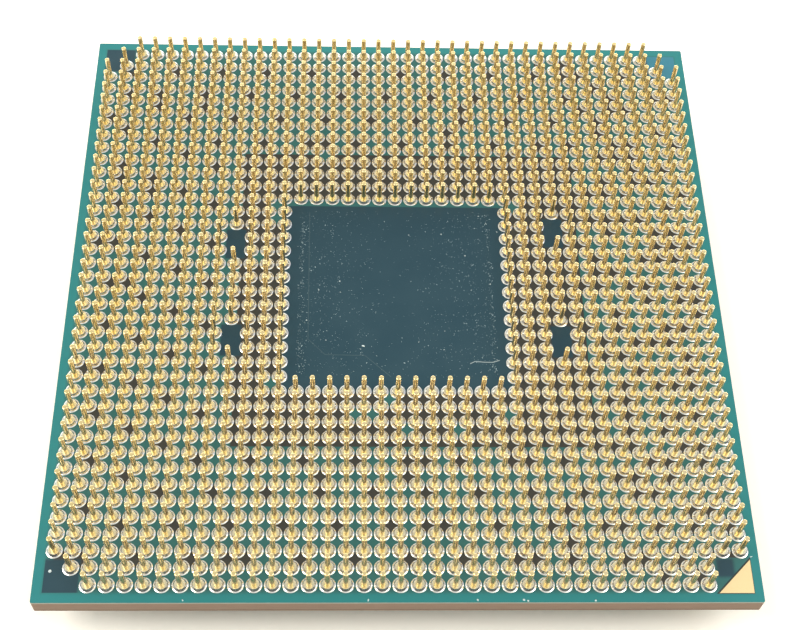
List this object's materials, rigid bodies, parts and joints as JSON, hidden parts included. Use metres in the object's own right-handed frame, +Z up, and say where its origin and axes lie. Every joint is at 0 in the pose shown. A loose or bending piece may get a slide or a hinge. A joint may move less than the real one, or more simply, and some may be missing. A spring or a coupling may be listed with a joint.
{
  "type": "computer processor",
  "caption": "Square pin-grid processor lying on its stepped metal heat spreader, with a field of gold nail-head pins on a teal laminate that plugs into a socket.",
  "frame": {"origin": "middle of the heat spreader's outer face, which is the lowest level", "axes": "+X along the pin rows, +Y from the front row to the back row, +Z up, the way the pins point; the index corner is at +X -Y"},
  "size_m": [0.04, 0.04, 0.006],
  "materials": {
    "solder_mask": "satin solder mask over woven laminate",
    "gold_pins": "bright gold plating",
    "solder": "bright solder",
    "gold_mark": "flat gold plating",
    "nickel": "satin nickel plating",
    "sealant": "matt silicone",
    "silicon": "ground silicon",
    "underfill": "matt resin",
    "thermal_solder": "soft solder",
    "capacitor_ceramic": "matt ceramic",
    "capacitor_tin": "tin plating"
  },
  "bodies": {
    "root": {"substrate": "solder_mask", "pin_side_index_mark": "gold_mark", "lid_side_index_mark": "gold_mark", "solder_band_1": "solder", "solder_band_2": "solder", "solder_band_3": "solder", "solder_band_4": "solder", "solder_band_5": "solder", "solder_band_6": "solder", "solder_band_7": "solder", "solder_band_8": "solder", "solder_band_9": "solder", "solder_band_10": "solder", "solder_band_11": "solder", "solder_band_12": "solder", "solder_band_13": "solder", "pin_band_1": "gold_pins", "pin_band_2": "gold_pins", "pin_band_3": "gold_pins", "pin_band_4": "gold_pins", "pin_band_5": "gold_pins", "pin_band_6": "gold_pins", "pin_band_7": "gold_pins", "pin_band_8": "gold_pins", "pin_band_9": "gold_pins", "pin_band_10": "gold_pins", "pin_band_11": "gold_pins", "pin_band_12": "gold_pins", "pin_band_13": "gold_pins", "heat_spreader": "nickel", "lid_sealant": "sealant", "processor_die": "silicon", "die_underfill": "underfill", "thermal_solder": "thermal_solder", "capacitor_bodies": "capacitor_ceramic", "capacitor_ends": "capacitor_tin"}
  },
  "joints": []
}
